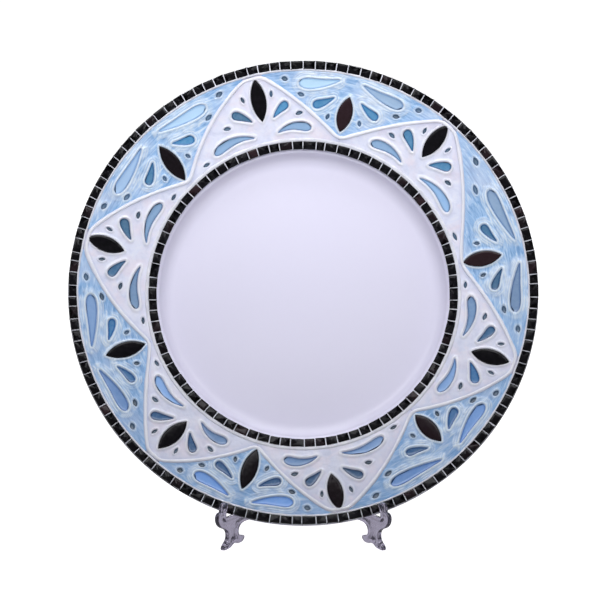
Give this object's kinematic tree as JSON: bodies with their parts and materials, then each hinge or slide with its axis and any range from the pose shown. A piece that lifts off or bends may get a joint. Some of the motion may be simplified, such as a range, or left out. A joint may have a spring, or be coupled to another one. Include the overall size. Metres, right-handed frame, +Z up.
{
  "type": "display plate with easel",
  "caption": "Round china dinner plate with a mosaic and relief rim, standing on a folding clear plastic easel.",
  "frame": {"origin": "middle of the footprint on the surface the easel stands on", "axes": "+Z up, the face of the plate looks to -Y and leans back, +X to the right as seen from the front"},
  "size_m": [0.3048, 0.1186, 0.3037],
  "materials": {
    "china": "glossy white glaze",
    "grout": "matte white grout",
    "black_tile": "opaque black glass mosaic tile, glossy",
    "leaf_glass": "opaque black glass leaf, glossy",
    "white_relief": "white modelled relief with a soft gloss",
    "blue_relief": "pale blue painted relief with a soft gloss",
    "teal_glass": "teal and pale blue glass enamel in recessed drops",
    "blue_glass": "blue glass enamel in recessed drops",
    "clear_plastic": "clear moulded polystyrene",
    "pin_plastic": "clear plastic pin"
  },
  "bodies": {
    "stand_left": {"easel_leaf_left": "clear_plastic", "hinge_pin": "pin_plastic"},
    "stand_right": {"easel_leaf_right": "clear_plastic"},
    "plate": {"plate_body": "china", "outer_grout": "grout", "inner_grout": "grout", "outer_tiles": "black_tile", "inner_tiles": "black_tile", "divider_ridges": "white_relief", "leaf_tile_1": "leaf_glass", "leaf_tile_2": "leaf_glass", "leaf_tile_3": "leaf_glass", "leaf_tile_4": "leaf_glass", "leaf_tile_5": "leaf_glass", "leaf_tile_6": "leaf_glass", "leaf_tile_7": "leaf_glass", "leaf_tile_8": "leaf_glass", "leaf_tile_9": "leaf_glass", "leaf_tile_10": "leaf_glass", "leaf_tile_11": "leaf_glass", "leaf_tile_12": "leaf_glass", "white_field_1": "white_relief", "white_field_2": "white_relief", "white_field_3": "white_relief", "white_field_4": "white_relief", "white_field_5": "white_relief", "white_field_6": "white_relief", "blue_field_1": "blue_relief", "blue_field_2": "blue_relief", "blue_field_3": "blue_relief", "blue_field_4": "blue_relief", "blue_field_5": "blue_relief", "blue_field_6": "blue_relief", "white_drops_1": "teal_glass", "white_drops_2": "teal_glass", "white_drops_3": "teal_glass", "white_drops_4": "teal_glass", "white_drops_5": "teal_glass", "white_drops_6": "teal_glass", "blue_drops_1": "blue_glass", "blue_drops_2": "blue_glass", "blue_drops_3": "blue_glass", "blue_drops_4": "blue_glass", "blue_drops_5": "blue_glass", "blue_drops_6": "blue_glass"}
  },
  "joints": [
    {"name": "plate_lift", "type": "slide", "parent": "stand_left", "child": "plate", "axis": [0, 0.2588, 0.9659], "range_m": [0, 0.25]},
    {"name": "stand_fold", "type": "hinge", "parent": "stand_left", "child": "stand_right", "pos_m": [0, 0.0557, 0.061], "axis": [0, 0, -1], "range_deg": [0, 50]}
  ],
  "couplings": [
    {"joint": "stand_fold", "follows": "plate_lift", "rad_per_m": 3.49}
  ]
}
